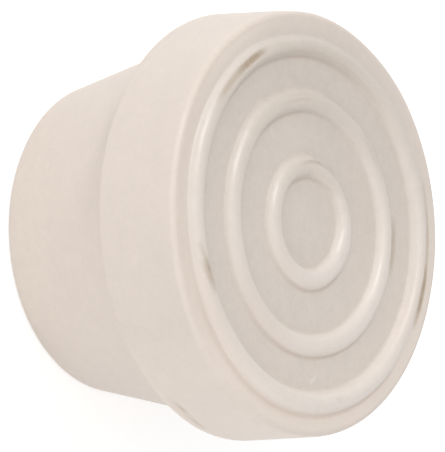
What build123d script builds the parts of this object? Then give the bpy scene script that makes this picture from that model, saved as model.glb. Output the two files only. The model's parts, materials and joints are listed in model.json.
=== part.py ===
from build123d import *
from math import radians, tan
import os

# Ladder rubber bumper, in millimetres.
#
# One moulded piece of soft rubber: a tapered neck with a blind socket that is pushed over the
# end of a ladder tube, and a wider, thick head whose flat face carries three raised rings and
# rests against the pool wall. It stands on its open mouth. The origin is the centre of the
# mouth, and +Z runs along the axis, out through the ringed face.

# The tube, and the socket that grips it
tube_diameter = 48.3
squeeze = 0.3  # how much narrower than the tube the socket is moulded
socket_depth = 34.0
lead_in = 1.0  # chamfer round the inside of the mouth
socket_corner = 2.0  # radius round the socket's blind end

# The neck, a straight cone that widens towards the head
mouth_wall = 4.0
mouth_edge = 1.0
neck_length = 30.1
neck_flare = 12.8  # degrees between the axis and the neck's side
neck_root = 1.0  # fillet where the neck meets the head

# The head, whose side narrows a little towards the face
shoulder_width = 3.65  # how far the head stands out past the neck
shoulder_edge = 0.5
head_depth = 16.1  # from the shoulder to the fields between the rings
head_draft = 1.8  # degrees between the axis and the head's side
face_edge = 2.2
rim_rise = 0.3  # how far the land outside the rings stands above the fields

# The three rings on the face: ribs with drafted flanks and a small foot, whose outer shoulder is
# rounder than the inner one
outer_ring_inset = 5.55  # from the head's edge to the middle of the outer ring
outer_ring_height = 1.9
inner_ring_diameter = 20.6  # across the middle of the inner ring
inner_ring_height = 1.55  # of the inner and the middle ring
middle_ring_bias = 0.7  # how far the middle ring lies outside the midway of the other two
ring_width = 4.25  # at the foot
ring_draft = 26.5  # degrees between the axis and a flank
ring_outer_shoulder = 2.1
ring_inner_shoulder = 1.1
ring_foot = 0.45

# Radii and heights that follow from these sizes
socket_radius = (tube_diameter - squeeze) / 2
mouth_radius = socket_radius + mouth_wall
neck_top_radius = mouth_radius + neck_length * tan(radians(neck_flare))
shoulder_radius = neck_top_radius + shoulder_width
field_height = neck_length + head_depth
rim_height = field_height + rim_rise
face_radius = shoulder_radius - (rim_height - neck_length) * tan(radians(head_draft))

outer_ring_radius = face_radius - outer_ring_inset
inner_ring_radius = inner_ring_diameter / 2
middle_ring_radius = (outer_ring_radius + inner_ring_radius) / 2 + middle_ring_bias


def rib(radius, height, outside):
    """The corners of a ring's section, from its outer foot over its top to its inner foot.

    Its outer foot stands on ground that is higher than the fields by the outside step.
    """
    slope = tan(radians(ring_draft))
    half = ring_width / 2
    return [
        (radius + half - outside * slope, field_height + outside),
        (radius + half - height * slope, field_height + height),
        (radius - half + height * slope, field_height + height),
        (radius - half, field_height),
    ]


outer_rib = rib(outer_ring_radius, outer_ring_height, rim_rise)
middle_rib = rib(middle_ring_radius, inner_ring_height, 0)
inner_rib = rib(inner_ring_radius, inner_ring_height, 0)
ribs = [outer_rib, middle_rib, inner_rib]

# The corners of the section on one side of the axis, from the socket round to the face
socket_end = (socket_radius, socket_depth)
mouth_corner = (mouth_radius, 0)
neck_corner = (neck_top_radius, neck_length)
shoulder_corner = (shoulder_radius, neck_length)
face_corner = (face_radius, rim_height)
corners = [
    (0, socket_depth),
    socket_end,
    (socket_radius, lead_in),
    (socket_radius + lead_in, 0),
    mouth_corner,
    neck_corner,
    shoulder_corner,
    face_corner,
    *outer_rib,
    *middle_rib,
    *inner_rib,
    (0, field_height),
]
section = make_face(Polyline(*corners, close=True))

# The rounded corners, each with its radius
rounding = [
    (socket_end, socket_corner),
    (mouth_corner, mouth_edge),
    (neck_corner, neck_root),
    (shoulder_corner, shoulder_edge),
    (face_corner, face_edge),
]
for outer_foot, outer_top, inner_top, inner_foot in ribs:
    rounding += [(outer_foot, ring_foot), (inner_foot, ring_foot)]
    rounding += [(outer_top, ring_outer_shoulder), (inner_top, ring_inner_shoulder)]

for corner, radius in rounding:
    vertex = section.vertices().sort_by_distance(corner)[0]
    section = fillet(vertex, radius)

rubber_bumper = revolve(Plane.XZ * section, Axis.Z)

os.makedirs("parts", exist_ok=True)
export_step(rubber_bumper, "parts/rubber_bumper.step")
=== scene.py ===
import json
from math import cos, pi, radians, sin, tan

import bpy
import numpy as np
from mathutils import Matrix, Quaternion, Vector


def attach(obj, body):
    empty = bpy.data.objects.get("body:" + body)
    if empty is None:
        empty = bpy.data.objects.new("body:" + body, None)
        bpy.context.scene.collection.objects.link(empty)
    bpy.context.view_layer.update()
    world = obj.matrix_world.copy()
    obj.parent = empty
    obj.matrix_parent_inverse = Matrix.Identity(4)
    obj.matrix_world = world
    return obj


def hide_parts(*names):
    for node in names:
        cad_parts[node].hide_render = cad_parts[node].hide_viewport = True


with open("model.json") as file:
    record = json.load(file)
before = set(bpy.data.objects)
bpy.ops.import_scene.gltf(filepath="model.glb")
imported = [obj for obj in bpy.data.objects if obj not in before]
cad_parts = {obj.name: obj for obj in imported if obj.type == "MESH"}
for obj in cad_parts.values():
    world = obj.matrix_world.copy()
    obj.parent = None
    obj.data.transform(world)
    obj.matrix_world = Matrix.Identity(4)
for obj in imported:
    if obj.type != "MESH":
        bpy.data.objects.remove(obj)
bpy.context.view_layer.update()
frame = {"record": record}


# --- The bumper -------------------------------------------------------------------------------
# One moulding of soft cream rubber, pressed over the end of a ladder tube: a tapered neck with a
# blind socket, a thick head, and three raised rings on the face that rests against the wall.
# It is formed in a two-part mould, and its face is creased, nicked and soiled from use.

mm = 0.001

# Its sizes in millimetres, and its angles in degrees
mounts = {mount["name"]: mount for mount in frame["record"]["mounts"]}
socket_radius = mounts["tube_socket"]["dims"]["r_mm"]
socket_depth = 34.0
lead_in = 1.0
socket_corner = 2.0

mouth_wall = 4.0
mouth_edge = 1.0
neck_length = 30.1
neck_flare = 12.8
neck_root = 1.0

shoulder_width = 3.65
shoulder_edge = 0.5
head_depth = 16.1
head_draft = 1.8
face_edge = 1.2
rim_rise = 0.3

outer_ring_inset = 5.55
outer_ring_height = 1.9
inner_ring_radius = 10.3
inner_ring_height = 1.55
middle_ring_bias = 0.7
ring_width = 4.25
ring_draft = 26.5
ring_outer_shoulder = 2.1
ring_inner_shoulder = 1.6
ring_foot = 0.45

mouth_radius = socket_radius + mouth_wall
neck_top = mouth_radius + neck_length * tan(radians(neck_flare))
shoulder_radius = neck_top + shoulder_width
field_height = neck_length + head_depth
rim_height = field_height + rim_rise
face_radius = shoulder_radius - (rim_height - neck_length) * tan(radians(head_draft))
outer_ring_radius = face_radius - outer_ring_inset
middle_ring_radius = (outer_ring_radius + inner_ring_radius) / 2 + middle_ring_bias


def ring_corners(radius, height, outside):
    """The corners of a ring's section from its outer foot to its inner foot, each with its rounding."""
    lean = tan(radians(ring_draft))
    half = ring_width / 2
    return [
        (radius + half - outside * lean, field_height + outside, ring_foot),
        (radius + half - height * lean, field_height + height, ring_outer_shoulder),
        (radius - half + height * lean, field_height + height, ring_inner_shoulder),
        (radius - half, field_height, ring_foot),
    ]


# The section's corners from the socket's end round to the middle of the face, each with its rounding
section = [
    (0, socket_depth, 0),
    (socket_radius, socket_depth, socket_corner),
    (socket_radius, lead_in, 0),
    (socket_radius + lead_in, 0, 0),
    (mouth_radius, 0, mouth_edge),
    (neck_top, neck_length, neck_root),
    (shoulder_radius, neck_length, shoulder_edge),
    (face_radius, rim_height, face_edge),
    *ring_corners(outer_ring_radius, outer_ring_height, rim_rise),
    *ring_corners(middle_ring_radius, inner_ring_height, 0),
    *ring_corners(inner_ring_radius, inner_ring_height, 0),
    (0, field_height, 0),
]

ring_step = 0.2
corner_step = 0.3
head_step = 0.75
neck_step = 3.0


def step_length(across, height):
    """Short steps on the rings, which carry the creases, and long ones on the neck and in the socket."""
    if height > field_height + 0.05:
        return ring_step
    if height > socket_depth or height > neck_length and across > neck_top:
        return head_step
    return neck_step


def arc(corner, back, on, radius):
    """Points round a corner of the section, from the side behind it to the side ahead."""
    half = np.arccos(np.clip(back @ on, -1, 1)) / 2
    turn = pi - 2 * half
    centre = corner + (back + on) / np.linalg.norm(back + on) * radius / np.sin(half)
    first = corner + back * radius / np.tan(half) - centre
    last = corner + on * radius / np.tan(half) - centre
    steps = int(np.ceil(turn * radius / min(corner_step, step_length(*corner))))
    share = np.linspace(0, 1, max(steps, 3) + 1)[:, None]
    return centre + (np.sin((1 - share) * turn) * first + np.sin(share * turn) * last) / sin(turn)


outline = [np.array(section[0][:2])]
for index, (across, height, rounding) in enumerate(section[1:], start=1):
    corner = np.array((across, height))
    stretch = [corner]
    if rounding:
        back = np.array(section[index - 1][:2]) - corner
        on = np.array(section[index + 1][:2]) - corner
        stretch = arc(corner, back / np.linalg.norm(back), on / np.linalg.norm(on), rounding)
    start = outline[-1]
    run = stretch[0] - start
    steps = int(np.ceil(np.linalg.norm(run) / min(step_length(*start), step_length(*stretch[0]))))
    outline += [start + run * step / steps for step in range(1, steps)]
    outline += list(stretch)
outline = np.array(outline)


def above_zero(value):
    """The value where it is above zero, and zero elsewhere."""
    return (value + abs(value)) / 2


def at_most_one(value):
    """The value where it is below one, and one elsewhere."""
    return (value + 1 - abs(value - 1)) / 2


def held(value):
    """The value, held between zero and one."""
    return at_most_one(above_zero(value))


def face_share(height):
    """Zero below the face, nearly one on its fields, and one on its rings and on the land round them."""
    return held(height - field_height + 0.8)


def side_share(radius, height):
    """One on the head's side, and zero on the shoulder, the face's edge and the face."""
    return held(height - neck_length - 0.3) * held((radius - face_radius) * 8)


def nearness(mark, x, y, radius, across):
    """How near a place is to a mark that runs round the axis: one at its middle, zero past its edges.

    A mark's five numbers are its middle and half its length, in degrees round the axis from +X, its
    line, how far that drifts over one radian, and half its width. The line is a radius on the face
    and a height on the side, and across is the same measure of the place.
    """
    middle, half_length, line, drift, half_width = mark
    cosine = (x * cos(radians(middle)) + y * sin(radians(middle))) / radius
    sine = (y * cos(radians(middle)) - x * sin(radians(middle))) / radius
    past_end = (1 - cosine) / (1 - cos(radians(half_length)))
    off_line = (across - line - sine * drift) / half_width
    return above_zero(1 - past_end) * above_zero(1 - off_line * off_line)


# The marks on the face, each with its depth, which is below zero where rubber is pushed up, and how
# much dirt it holds, which at the feet of the scuffed lines and in the fold is also painted shade
face_marks = [
    (206, 9, 32.4, 0.2, 0.72, 0.14, 0.8),  # gash along the outer ring's crest
    (213, 15, 32.5, 0.5, 0.8, 0.08, 0.42),
    (222, 8, 32.8, 1.0, 0.6, 0.04, 0.25),
    (208, 17, 31.55, 0.4, 0.4, -0.06, 0.0),  # its raised lip
    (284.2, 6.5, 31.55, -5.0, 1.2, 0.09, 0.65),  # crack across the same ring's inner shoulder
    (278.5, 6, 31.9, -9.0, 0.6, 0.04, 0.35),
    # The two lines at 34.9 mm lie on the land at the outer ring's foot: dirt and painted shadow
    (64, 10, 33.05, 0.3, 0.7, 0.12, 1.0),  # scuffed line down its outer shoulder
    (64, 11, 34.9, 0.0, 0.65, 0.0, 1.0),
    (82, 20, 33.05, 0.0, 0.6, 0.05, 0.5),
    (82, 20, 34.9, 0.0, 0.6, 0.0, 0.45),
    (4.6, 2.2, 31.8, 0.0, 0.8, 0.02, 0.17),  # fleck on its inner shoulder
    # The line at 25.0 mm lies at the middle ring's foot: dirt and painted shadow
    (77, 12, 23.2, 0.3, 0.7, 0.06, 0.8),  # scuffed line down the middle ring's outer shoulder
    (77, 14, 25.0, 0.0, 0.85, 0.0, 0.6),
    (100, 22, 23.1, 0.0, 0.5, 0.03, 0.25),
    (121, 14, 21.8, 0.0, 0.9, 0.03, 0.2),
    (184, 14, 21.7, 0.0, 0.45, 0.05, 0.16),  # streaks along its crest
    (180, 12, 22.7, 0.5, 0.4, 0.05, 0.12),
    # The fold's dark line is dirt and painted shade in its crease
    (160, 36, 10.85, -0.7, 0.5, 0.17, 0.5),  # fold in the inner ring, with its raised edge
    (160, 36, 11.5, -0.7, 0.4, -0.08, 0.0),
]

# The nicks in the head's side by its back edge, with the same numbers
side_marks = [
    (323, 3.2, 32.5, 3.0, 0.55, 0.12, 0.32),
    (332, 4.0, 32.0, -4.0, 0.55, 0.1, 0.28),
    (327, 9.0, 32.3, -3.0, 0.9, 0.08, 0.16),
]

# Two stretches of the face's edge that are worn rounder than the rest, each with its depth
worn_edges = [
    (204, 40, face_radius, 0.0, 2.9, 0.5),
    (318, 40, face_radius, 0.0, 2.9, 0.4),
]

# Stains by the rings and along their feet, each with its strength: partly dirt and partly painted shade
# The painted shade lies in the corners at the rings' feet, over the lower left of the rings, and on the
# land by the face's edge
stains_and_shade = [
    (207, 34, 37.4, 0.0, 1.1, 0.6),  # on the land outside the rings
    (268, 42, 36.0, 0.0, 1.8, 0.15),
    (0, 40, 34.4, 0.0, 0.6, 0.8),  # at the outer ring's outer foot
    (318, 34, 34.6, 0.0, 0.95, 0.45),
    (296, 32, 33.2, 0.0, 2.0, 0.4),  # on the outer ring and at its inner foot
    (55, 26, 31.4, 0.0, 1.2, 0.3),
    (168, 27, 29.3, 0.0, 0.42, 0.8),
    (0, 55, 24.1, 0.0, 0.5, 0.6),  # at the middle ring's feet and on it
    (312, 36, 22.6, 0.0, 2.2, 0.35),
    (190, 28, 19.5, 0.0, 0.45, 0.7),
    (90, 60, 16.4, 0.0, 3.2, 0.2),  # in the field inside it
    (0, 60, 12.3, 0.0, 0.5, 0.6),  # at the inner ring's feet and on it
    (302, 30, 10.8, 0.0, 2.2, 0.25),
    (178, 32, 7.7, 0.0, 0.4, 0.6),
]

# A light scratch between the outer and the middle ring
scratch = (355.4, 2.6, 27.8, -16.0, 0.55)

columns = 432
angles = np.arange(columns)[:, None] * 2 * pi / columns
along_line = np.gradient(outline, axis=0)
along_line = along_line / np.linalg.norm(along_line, axis=1)[:, None]
off_axis = 0.001
radius = np.maximum(outline[:, 0], off_axis) + np.zeros_like(angles)
height = np.broadcast_to(outline[:, 1], radius.shape)

# The soft rubber has lost its round shape a little. Each row says how far it has slipped outwards at
# one circle of the face, from the axis over each ring's two feet to the face's edge, and each number
# in it belongs to one of twelve angles, from +X on
ring_reach = ring_width / 2
circles = [
    0,
    inner_ring_radius - ring_reach,
    inner_ring_radius + ring_reach,
    middle_ring_radius - ring_reach,
    middle_ring_radius + ring_reach,
    outer_ring_radius - ring_reach,
    outer_ring_radius + ring_reach,
    face_radius - face_edge,
]
slips = [
    [0, 0, 0, 0, 0, 0, 0, 0, 0, 0, 0, 0],
    [0, -0.35, -0.35, 0.1, 0.1, -0.4, -0.2, 0, 0.05, 0.1, 0.2, 0.15],
    [-0.3, -0.35, -0.1, -0.6, -1.25, -1.1, -0.25, -0.25, -0.3, -0.3, -0.3, -0.2],
    [-0.15, -0.05, 0.05, 0, -0.4, -0.6, -0.25, 0, -0.3, -0.45, -0.15, 0],
    [-0.2, 0.2, 0.1, -0.4, -0.4, -0.65, -0.1, 0.1, -0.4, -0.7, -0.4, -0.1],
    [-0.5, -0.25, -0.1, -0.35, -0.6, -0.6, -0.5, -0.4, -0.3, -0.4, -0.45, -0.5],
    [-0.3, 0, -0.5, -0.4, -0.7, -1.4, -1.2, -0.4, -0.2, -0.65, -0.65, -0.4],
    [-0.05, 0, 0, 0.1, 0.1, -0.3, -0.3, 0, 0, -0.1, 0, 0],
]

# The same for the head's shoulder, which is one circle
shoulder_slips = [-0.45, -0.25, 0, 0, 0, 0, 0, 0, 0, 0, 0, -0.25]


def turned(slip):
    """The slip at every column, eased from one of its angles to the next."""
    turn = np.arange(columns) * len(slip) / columns
    behind = turn.astype(int)
    share = (1 - np.cos(pi * (turn - behind))) / 2
    slip = np.array(slip)
    return slip[behind] * (1 - share) + slip[(behind + 1) % len(slip)] * share


face_slips = np.array([turned(slip) for slip in slips])
face_rows = (outline[:, 1] > field_height - 0.01) & (outline[:, 0] < circles[-1])
outer_rows = (outline[:, 0] > socket_radius + lead_in) & ~face_rows
up_neck = np.clip(outline[:, 1] / neck_length, 0, 1)
up_head = np.clip((outline[:, 1] - neck_length) / (rim_height - neck_length), 0, 1)
side_slip = turned(shoulder_slips)[:, None] * up_neck * (1 - up_head) + face_slips[-1][:, None] * up_head
for column in range(columns):
    radius[column] += np.interp(outline[:, 0], circles, face_slips[:, column]) * face_rows
radius += side_slip * outer_rows
x = np.cos(angles) * radius
y = np.sin(angles) * radius

on_face = face_share(height)
on_side = side_share(radius, height)
sunk = 0.0
for *mark, depth, dirt_and_shade_share in face_marks:
    sunk = sunk + nearness(mark, x, y, radius, radius) * depth * on_face
for *mark, depth, dirt_and_shade_share in side_marks:
    sunk = sunk + nearness(mark, x, y, radius, height) * depth * on_side

# The radius of a place on the face, carried on round the face's edge and down the side
past_edge = radius + rim_height - height
for *mark, depth in worn_edges:
    sunk = sunk + nearness(mark, x, y, radius, past_edge) ** 2 * depth * (outline[:, 0] > mouth_radius)

# The rings are a little uneven from the mould, as soft rubber is
long_wave = np.sin(x * 0.42 + 1.3 * np.sin(y * 0.31)) * np.sin(y * 0.47 - 0.6)
short_wave = np.sin(x * 1.1 - 0.7 * y)
unevenness = 0.035 + 0.025 * (long_wave + 0.6 * short_wave)
sunk = sunk + held(height - field_height) * unevenness

# Every place sinks square to the surface, and none stands above the outer ring
radius = radius - sunk * along_line[:, 1]
height = np.minimum(height + sunk * along_line[:, 0], field_height + outer_ring_height)

# The first and the last place of the outline are on the axis, where all columns share one vertex
inner = np.stack([np.cos(angles) * radius, np.sin(angles) * radius, height], axis=2)[:, 1:-1] * mm
rows = len(outline) - 2
vertices = np.concatenate([inner.reshape(-1, 3), [[0, 0, socket_depth * mm], [0, 0, field_height * mm]]])
socket_middle = columns * rows
face_middle = socket_middle + 1
faces = []
for column in range(columns):
    first = column * rows
    beside = (column + 1) % columns * rows
    faces += [(first + row, beside + row, beside + row + 1, first + row + 1) for row in range(rows - 1)]
    faces.append((socket_middle, beside, first))
    faces.append((face_middle, first + rows - 1, beside + rows - 1))

mesh = bpy.data.meshes.new("bumper")
mesh.from_pydata(vertices.tolist(), [], faces)
mesh.shade_smooth()
mesh.set_sharp_from_angle(angle=radians(40))
bumper = bpy.data.objects.new("bumper", mesh)
bpy.context.scene.collection.objects.link(bumper)


class Shade:
    """A socket of a material: an expression on values adds its Math nodes, and node adds any other."""

    def __init__(self, socket):
        self.socket = socket

    def node(self, kind, settings, values, output=0):
        """A node's output: its type, its settings, and the values or links of its sockets."""
        tree = self.socket.id_data
        made = tree.nodes.new(kind)
        for name, setting in settings.items():
            setattr(made, name, setting)
        for name, value in values.items():
            if isinstance(value, Shade):
                tree.links.new(value.socket, made.inputs[name])
            else:
                made.inputs[name].default_value = value
        return Shade(made.outputs[output])

    def maths(self, operation, *values):
        """A Math node's result."""
        return self.node("ShaderNodeMath", {"operation": operation}, dict(enumerate(values)))

    def mixed(self, none, full):
        """A colour that goes from one to another with this value."""
        return self.node("ShaderNodeMix", {"data_type": "RGBA"}, {0: self, 6: none, 7: full}, 2)

    def into(self, shader, name):
        """This value or colour, linked to a socket of a shader."""
        self.socket.id_data.links.new(self.socket, shader.inputs[name])

    def __add__(self, other):
        return self.maths("ADD", self, other)

    def __radd__(self, other):
        return self.maths("ADD", other, self)

    def __sub__(self, other):
        return self.maths("SUBTRACT", self, other)

    def __rsub__(self, other):
        return self.maths("SUBTRACT", other, self)

    def __mul__(self, other):
        return self.maths("MULTIPLY", self, other)

    def __rmul__(self, other):
        return self.maths("MULTIPLY", other, self)

    def __truediv__(self, other):
        return self.maths("DIVIDE", self, other)

    def __rtruediv__(self, other):
        return self.maths("DIVIDE", other, self)

    def __pow__(self, other):
        return self.maths("POWER", self, other)

    def __abs__(self):
        return self.maths("ABSOLUTE", self)


rubber = bpy.data.materials.new("cream_rubber")
rubber.use_nodes = True
skin = rubber.node_tree.nodes["Principled BSDF"]
place = Shade(skin.outputs["BSDF"]).node("ShaderNodeTexCoord", {}, {}, "Object")


def blotches(size, detail, contrast=1.0):
    """Noise from zero to one, with blotches of about this size in mm."""
    values = {"Vector": place, "Scale": 1 / (size * mm), "Detail": detail}
    noise = place.node("ShaderNodeTexNoise", {"noise_dimensions": "3D"}, values)
    return held((noise - 0.5) * contrast + 0.5)


cloud = blotches(11, 2)
speck = blotches(2.4, 3)
grain = blotches(0.8, 2)
patch = blotches(1.1, 3, 2.5)

# The parts of the skin, with the radii at which the top of the face, its rings and its dust end
top_end = 37.4
ring_end = 34.6
dust_end = 31.5
x, y, height = [place.node("ShaderNodeSeparateXYZ", {}, {0: place}, axis) / mm for axis in range(3)]
radius = (x * x + y * y) ** 0.5
on_neck = held(neck_length - height)
on_head = held(height - neck_length) * held(radius - face_radius + 1)
on_side = side_share(radius, height)
on_face = face_share(height)
on_top = held((height - field_height + 0.5) * 2) * held(top_end - radius)
on_ring = held((height - field_height - 0.05) * 2.5) * held((ring_end - radius) * 2)
on_dust = held(dust_end - radius) * on_face
in_field = on_dust - on_dust * on_ring
crest = 0.3 + held((height - field_height - 0.7) * 1.2) * 0.7

# How far round the axis a place lies towards +X and towards +Y, each from -1 to 1
towards_x = x / radius
towards_y = y / radius

# Dirt in the marks, and painted shade in the fold and at the scuffed lines' feet
dirt_and_shade = 0.0
for *mark, depth, dirt_and_shade_share in face_marks:
    if dirt_and_shade_share:
        dirt_and_shade = dirt_and_shade + nearness(mark, x, y, radius, radius) * dirt_and_shade_share * on_face
for *mark, depth, dirt_and_shade_share in side_marks:
    dirt_and_shade = dirt_and_shade + nearness(mark, x, y, radius, height) * dirt_and_shade_share * on_side
dirt_and_shade = at_most_one(dirt_and_shade * (0.8 + patch * 0.35))

# Stains and painted shade by the rings and at their feet
stain_and_shade = 0.0
for *mark, strength in stains_and_shade:
    stain_and_shade = stain_and_shade + nearness(mark, x, y, radius, radius) * strength * on_face
stain_and_shade = at_most_one(stain_and_shade * (0.5 + speck))

cream = (0.745, 0.655, 0.583, 1)
dusty_cream = (0.652, 0.586, 0.525, 1)
# The rings' cream is cooler than the rest: partly rubbed rubber, partly a painted sheen
rubbed_sheen_cream = (0.717, 0.649, 0.590, 1)
# This cream darkens the rings' crests on one side: partly soil, partly painted shade
soiled_and_shaded_cream = (0.62, 0.535, 0.45, 1)
scratched_cream = (0.80, 0.745, 0.70, 1)
stain_and_shade_brown = (0.55, 0.42, 0.34, 1)
dirt_and_shade_brown = (0.34, 0.24, 0.14, 1)

# Dust dulls the fields between the rings. The rings are rubbed clean, and their cooler cream is partly
# painted sheen
tone = on_dust.mixed(cream, dusty_cream)
tone = on_ring.mixed(tone, rubbed_sheen_cream)
# The rings' crests are darker on the side towards -X: partly soil and partly painted shade
tone = (on_ring * crest * above_zero(0.1 - towards_x) * 0.4).mixed(tone, soiled_and_shaded_cream)
tone = (nearness(scratch, x, y, radius, radius) * 0.7 * on_face).mixed(tone, scratched_cream)
# The stains darken the cream: dirt, and painted shade at the rings' feet and over their lower left
tone = (stain_and_shade * 0.5).mixed(tone, stain_and_shade_brown)
# The marks darken it further: dirt, and painted shade in the fold and at the scuffed lines' feet
tone = (dirt_and_shade * 0.75).mixed(tone, dirt_and_shade_brown)

# Painted light and shade: the face and its rings are lighter towards +X, the neck darker towards +X,
# and the head darker on its side towards -Y. The whole skin is also mottled
fine_mottle = (speck - 0.5) * 0.05 + (grain - 0.5) * 0.05
# Painted light and shade on the face, rings, neck and head, with the mottle, as one grey that multiplies
# the cream
light_shade_and_mottle = 1 + on_top * (x * 0.0018) + on_ring * above_zero(towards_x) * 0.055
light_shade_and_mottle = light_shade_and_mottle - on_neck * above_zero(towards_x) * 0.07
light_shade_and_mottle = light_shade_and_mottle - on_head * above_zero(-0.5 - towards_y) * 0.09
light_shade_and_mottle = light_shade_and_mottle + (cloud - 0.5) * 0.06 + fine_mottle * (1.5 + in_field)
light_shade_and_mottle_grey = light_shade_and_mottle.node("ShaderNodeCombineColor", {}, {0: light_shade_and_mottle, 1: light_shade_and_mottle, 2: light_shade_and_mottle})
multiply = {"data_type": "RGBA", "blend_type": "MULTIPLY"}
tone = tone.node("ShaderNodeMix", multiply, {0: 1.0, 6: tone, 7: light_shade_and_mottle_grey}, 2)
tone.into(skin, "Base Color")
roughness = 0.46 - on_ring * 0.1 + in_field * 0.06 + speck * 0.05 + (dirt_and_shade + stain_and_shade) * 0.25
roughness.into(skin, "Roughness")
relief = grain * 0.5 + blotches(0.25, 2) * 0.5
bumps = {"Strength": 0.12, "Distance": 0.06 * mm, "Height": relief}
relief.node("ShaderNodeBump", {}, bumps).into(skin, "Normal")
skin.inputs["Specular IOR Level"].default_value = 0.75
mesh.materials.append(rubber)

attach(bumper, "root")
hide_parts("rubber_bumper")


# --- The floor --------------------------------------------------------------------------------
# A plain white board under the bumper and far out round it, which keeps a faint shadow. To the eye
# and in reflections it glows a little, so that it looks as white as the room.

floor_reach = 6
corners = [Vector(corner) * floor_reach for corner in ((-1, -1, 0), (1, -1, 0), (1, 1, 0), (-1, 1, 0))]
floor_mesh = bpy.data.meshes.new("floor")
floor_mesh.from_pydata(corners, [], [(0, 1, 2, 3)])
floor = bpy.data.objects.new("floor", floor_mesh)
bpy.context.scene.collection.objects.link(floor)


def in_sight(shader):
    """One for rays from the eye and in gloss or glass, and zero for the light that falls on things."""
    rays = ("Is Camera Ray", "Is Glossy Ray", "Is Transmission Ray")
    seen, mirrored, seen_through = [shader.node("ShaderNodeLightPath", {}, {}, ray) for ray in rays]
    return at_most_one(seen + mirrored + seen_through)


black = (0, 0, 0, 1)
board_white = (0.8, 0.8, 0.8, 1)
board_glow = (0.45, 0.45, 0.45, 1)
board = bpy.data.materials.new("white_board")
board.use_nodes = True
board_skin = board.node_tree.nodes["Principled BSDF"]
board_skin.inputs["Base Color"].default_value = board_white
board_skin.inputs["Roughness"].default_value = 0.9
board_skin.inputs["Emission Strength"].default_value = 1.0
in_sight(Shade(board_skin.outputs["BSDF"])).mixed(black, board_glow).into(board_skin, "Emission Color")
floor_mesh.materials.append(board)


# --- The room ---------------------------------------------------------------------------------
# A white room whose walls light the bumper evenly from all sides. They are pure white to look at and
# in reflections.

white = (1, 1, 1, 1)
room = bpy.data.worlds.new("white_room")
room.use_nodes = True
bpy.context.scene.world = room
walls = room.node_tree.nodes["Background"]
walls.inputs["Color"].default_value = white
walls.inputs["Strength"].default_value = 0.58
light = Shade(walls.outputs["Background"])
paint = light.node("ShaderNodeBackground", {}, {"Color": white, "Strength": 1.0})
surface = light.node("ShaderNodeMixShader", {}, {0: in_sight(light), 1: light, 2: paint})
surface.into(room.node_tree.nodes["World Output"], "Surface")


# --- The lamps --------------------------------------------------------------------------------
# Large round softboxes on all sides of the bumper, which light its form gently, and one smaller one
# high on its left that glints on the rings.

lamp_distance = 1.2
lamp_aim = Vector((0, 0, 0.03))


def softbox(name, direction, size, power, colour=(1, 1, 1)):
    """A round lamp in this direction from the bumper, turned towards it."""
    lamp = bpy.data.lights.new(name, "AREA")
    lamp.shape = "DISK"
    lamp.size = size
    lamp.energy = power
    lamp.color = colour
    holder = bpy.data.objects.new(name, lamp)
    towards = Vector(direction).normalized()
    holder.location = lamp_aim + towards * lamp_distance
    holder.rotation_mode = "QUATERNION"
    holder.rotation_quaternion = towards.to_track_quat("Z", "Y")
    bpy.context.scene.collection.objects.link(holder)


softbox("glint_box", (-0.62, -0.28, 0.73), 0.2, 3.6)
softbox("left_box", (-0.94, -0.21, 0.27), 1.0, 2.4)
softbox("left_back_box", (-0.9, 0.4, -0.22), 1.0, 1.2, (0.86, 0.93, 1))
softbox("right_box", (0.62, -0.74, 0.2), 1.0, 3.75)
softbox("low_right_box", (0.96, 0.1, 0.28), 1.0, 0.9)
softbox("front_box", (0, -0.785, 0.62), 1.2, 1.75)


# --- The camera -------------------------------------------------------------------------------
# It looks down at the face from the side, through a long lens from a little under a metre away, and
# is turned so that the bumper's axis lies across the view.

look_down = radians(38.82)
roll = radians(85.38)
camera_distance = 0.8676
camera_aim = Vector((-0.000605, -0.009387, 0.034311))
forward = Vector((0, cos(look_down), -sin(look_down)))
lens = bpy.data.cameras.new("camera")
lens.lens = 390.6
lens.sensor_width = 36
lens.clip_start = 0.01
lens.clip_end = 20
camera = bpy.data.objects.new("camera", lens)
camera.rotation_mode = "QUATERNION"
camera.rotation_quaternion = forward.to_track_quat("-Z", "Y") @ Quaternion((0, 0, 1), roll)
camera.location = camera_aim - camera_distance * forward
bpy.context.scene.collection.objects.link(camera)
bpy.context.scene.camera = camera
bpy.context.scene.view_settings.view_transform = "Standard"
